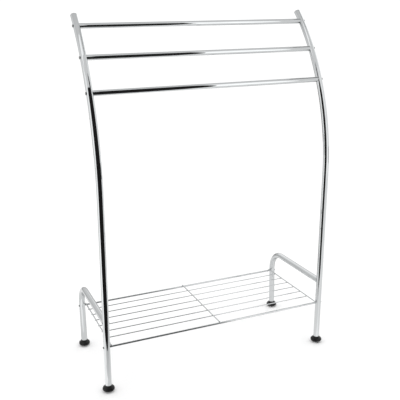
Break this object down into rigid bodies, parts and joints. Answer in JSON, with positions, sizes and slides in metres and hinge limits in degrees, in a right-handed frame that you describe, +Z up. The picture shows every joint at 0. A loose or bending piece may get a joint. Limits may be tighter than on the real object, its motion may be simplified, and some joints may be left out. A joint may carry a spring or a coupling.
{
  "type": "freestanding towel stand",
  "caption": "Freestanding chrome towel stand: bowed tube uprights carry horizontal towel rails over a low wire shelf on rubber feet.",
  "frame": {"origin": "on the floor, at the centre of the stand's outer box", "axes": "+X along the rails to the right, +Y to the back, +Z up"},
  "size_m": [0.626, 0.2922, 0.8974],
  "materials": {
    "chrome_tube": "polished chrome plate on bent steel tube",
    "chrome_rail": "polished chrome plate on straight steel tube",
    "chrome_wire": "polished chrome plate on drawn steel wire",
    "screw_chrome": "chrome-plated pan-head screw",
    "foot_rubber": "moulded black rubber, satin",
    "plug_plastic": "moulded dark plastic plug",
    "insert_nylon": "natural nylon, out of sight in the rail ends"
  },
  "bodies": {
    "root": {"left_upright": "chrome_tube", "right_upright": "chrome_tube", "left_side_leg": "chrome_tube", "right_side_leg": "chrome_tube", "top_rail": "chrome_rail", "middle_rail": "chrome_rail", "lower_rail": "chrome_rail", "shelf_front_rod": "chrome_wire", "shelf_rear_rod": "chrome_wire", "shelf_wire_1": "chrome_wire", "shelf_wire_2": "chrome_wire", "shelf_wire_3": "chrome_wire", "shelf_wire_4": "chrome_wire", "shelf_wire_5": "chrome_wire", "shelf_wire_6": "chrome_wire", "shelf_cross_rod_left": "chrome_wire", "shelf_cross_rod_centre": "chrome_wire", "shelf_cross_rod_right": "chrome_wire", "front_left_foot": "foot_rubber", "front_right_foot": "foot_rubber", "rear_left_foot": "foot_rubber", "rear_right_foot": "foot_rubber", "left_top_plug": "plug_plastic", "right_top_plug": "plug_plastic", "rail_inserts": "insert_nylon", "rail_screws": "screw_chrome", "shelf_screws": "screw_chrome"}
  },
  "joints": []
}
